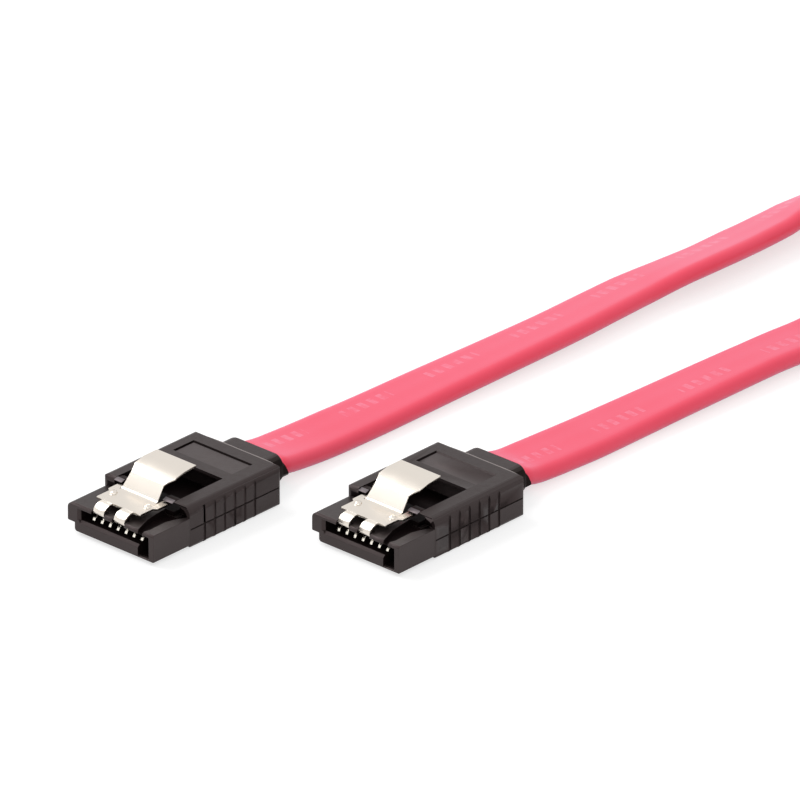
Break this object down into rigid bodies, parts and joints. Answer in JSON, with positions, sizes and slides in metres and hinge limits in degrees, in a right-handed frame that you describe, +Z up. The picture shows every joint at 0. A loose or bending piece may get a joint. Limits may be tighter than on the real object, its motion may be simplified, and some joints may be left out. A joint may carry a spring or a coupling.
{
  "type": "flat data cable with two latching plugs",
  "caption": "Flat red data cable with a black latching plug on each end: L-shaped slot with gold contacts, sprung steel latch, grooved moulded body.",
  "frame": {"origin": "middle of the two plugs' common box, on the table they lie on", "axes": "+Z up from the table, +Y along the plugs from their mating faces to the cable, +X to the right seen from the mating faces"},
  "size_m": [0.0442, 0.1703, 0.0081],
  "materials": {
    "insulator": "satin black",
    "moulding": "satin warm black, fine grain",
    "spring_steel": "rolled spring steel, satin",
    "contact_plating": "bright plated",
    "cable_jacket": "soft semi-gloss red jacket"
  },
  "bodies": {
    "cable_and_plugs": {"plug_housing_a": "insulator", "contact_1_a": "contact_plating", "contact_2_a": "contact_plating", "contact_3_a": "contact_plating", "contact_4_a": "contact_plating", "contact_5_a": "contact_plating", "contact_6_a": "contact_plating", "contact_7_a": "contact_plating", "overmould_a": "moulding", "plug_housing_b": "insulator", "contact_1_b": "contact_plating", "contact_2_b": "contact_plating", "contact_3_b": "contact_plating", "contact_4_b": "contact_plating", "contact_5_b": "contact_plating", "contact_6_b": "contact_plating", "contact_7_b": "contact_plating", "overmould_b": "moulding", "cable_run_a": "cable_jacket", "cable_loop": "cable_jacket", "cable_run_b": "cable_jacket"},
    "latch_a": {"latch_a": "spring_steel"},
    "latch_b": {"latch_b": "spring_steel"}
  },
  "joints": [
    {"name": "latch_press_a", "type": "hinge", "parent": "cable_and_plugs", "child": "latch_a", "pos_m": [-0.01154, -0.02113, 0.0042], "axis": [-1, 0, 0], "range_deg": [0, 4], "stiffness_Nm_per_rad": 0.1},
    {"name": "latch_press_b", "type": "hinge", "parent": "cable_and_plugs", "child": "latch_b", "pos_m": [0.01104, -0.00407, 0.0042], "axis": [-1, 0, 0], "range_deg": [0, 4], "stiffness_Nm_per_rad": 0.1}
  ]
}
